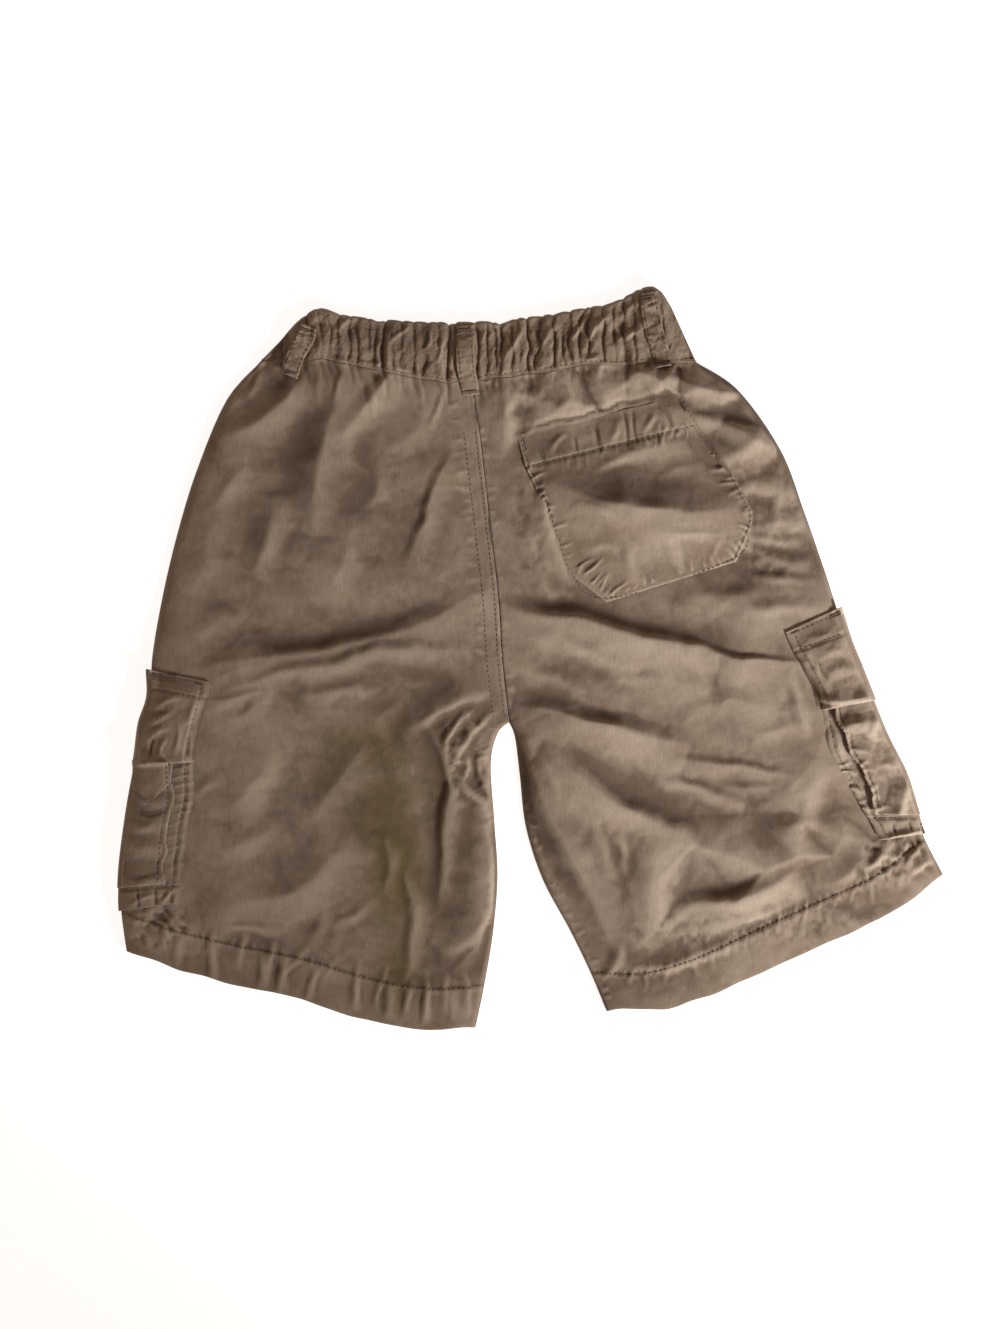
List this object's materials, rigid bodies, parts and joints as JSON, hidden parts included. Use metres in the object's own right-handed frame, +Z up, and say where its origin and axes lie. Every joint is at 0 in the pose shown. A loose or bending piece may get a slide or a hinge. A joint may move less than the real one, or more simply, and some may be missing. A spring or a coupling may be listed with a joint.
{
  "type": "cargo shorts",
  "caption": "Boy's khaki cargo shorts laid flat, back up, with an elastic waistband, belt loops, a seat pocket and flapped bellows pockets on the sides.",
  "frame": {"origin": "on the surface that the shorts lie on, under the middle of their outline", "axes": "+X across the back towards the wearer's right, +Y towards the waist, +Z up from the surface"},
  "size_m": [0.5376, 0.476, 0.0169],
  "materials": {
    "khaki_twill": "washed matt cotton twill, worn and stained",
    "khaki_twill_trim": "washed matt cotton twill, gathered or folded double"
  },
  "bodies": {
    "root": {"front_left": "khaki_twill", "front_right": "khaki_twill", "back_left": "khaki_twill", "back_right": "khaki_twill", "waistband_front": "khaki_twill_trim", "waistband_back": "khaki_twill_trim", "belt_loop_left": "khaki_twill_trim", "belt_loop_centre": "khaki_twill_trim", "belt_loop_right": "khaki_twill_trim", "seat_pocket": "khaki_twill", "side_pocket_gusset_left": "khaki_twill", "side_pocket_face_left": "khaki_twill", "side_pocket_flap_left": "khaki_twill", "side_pocket_tab_left": "khaki_twill_trim", "side_pocket_gusset_right": "khaki_twill", "side_pocket_face_right": "khaki_twill", "side_pocket_flap_right": "khaki_twill"}
  },
  "joints": []
}
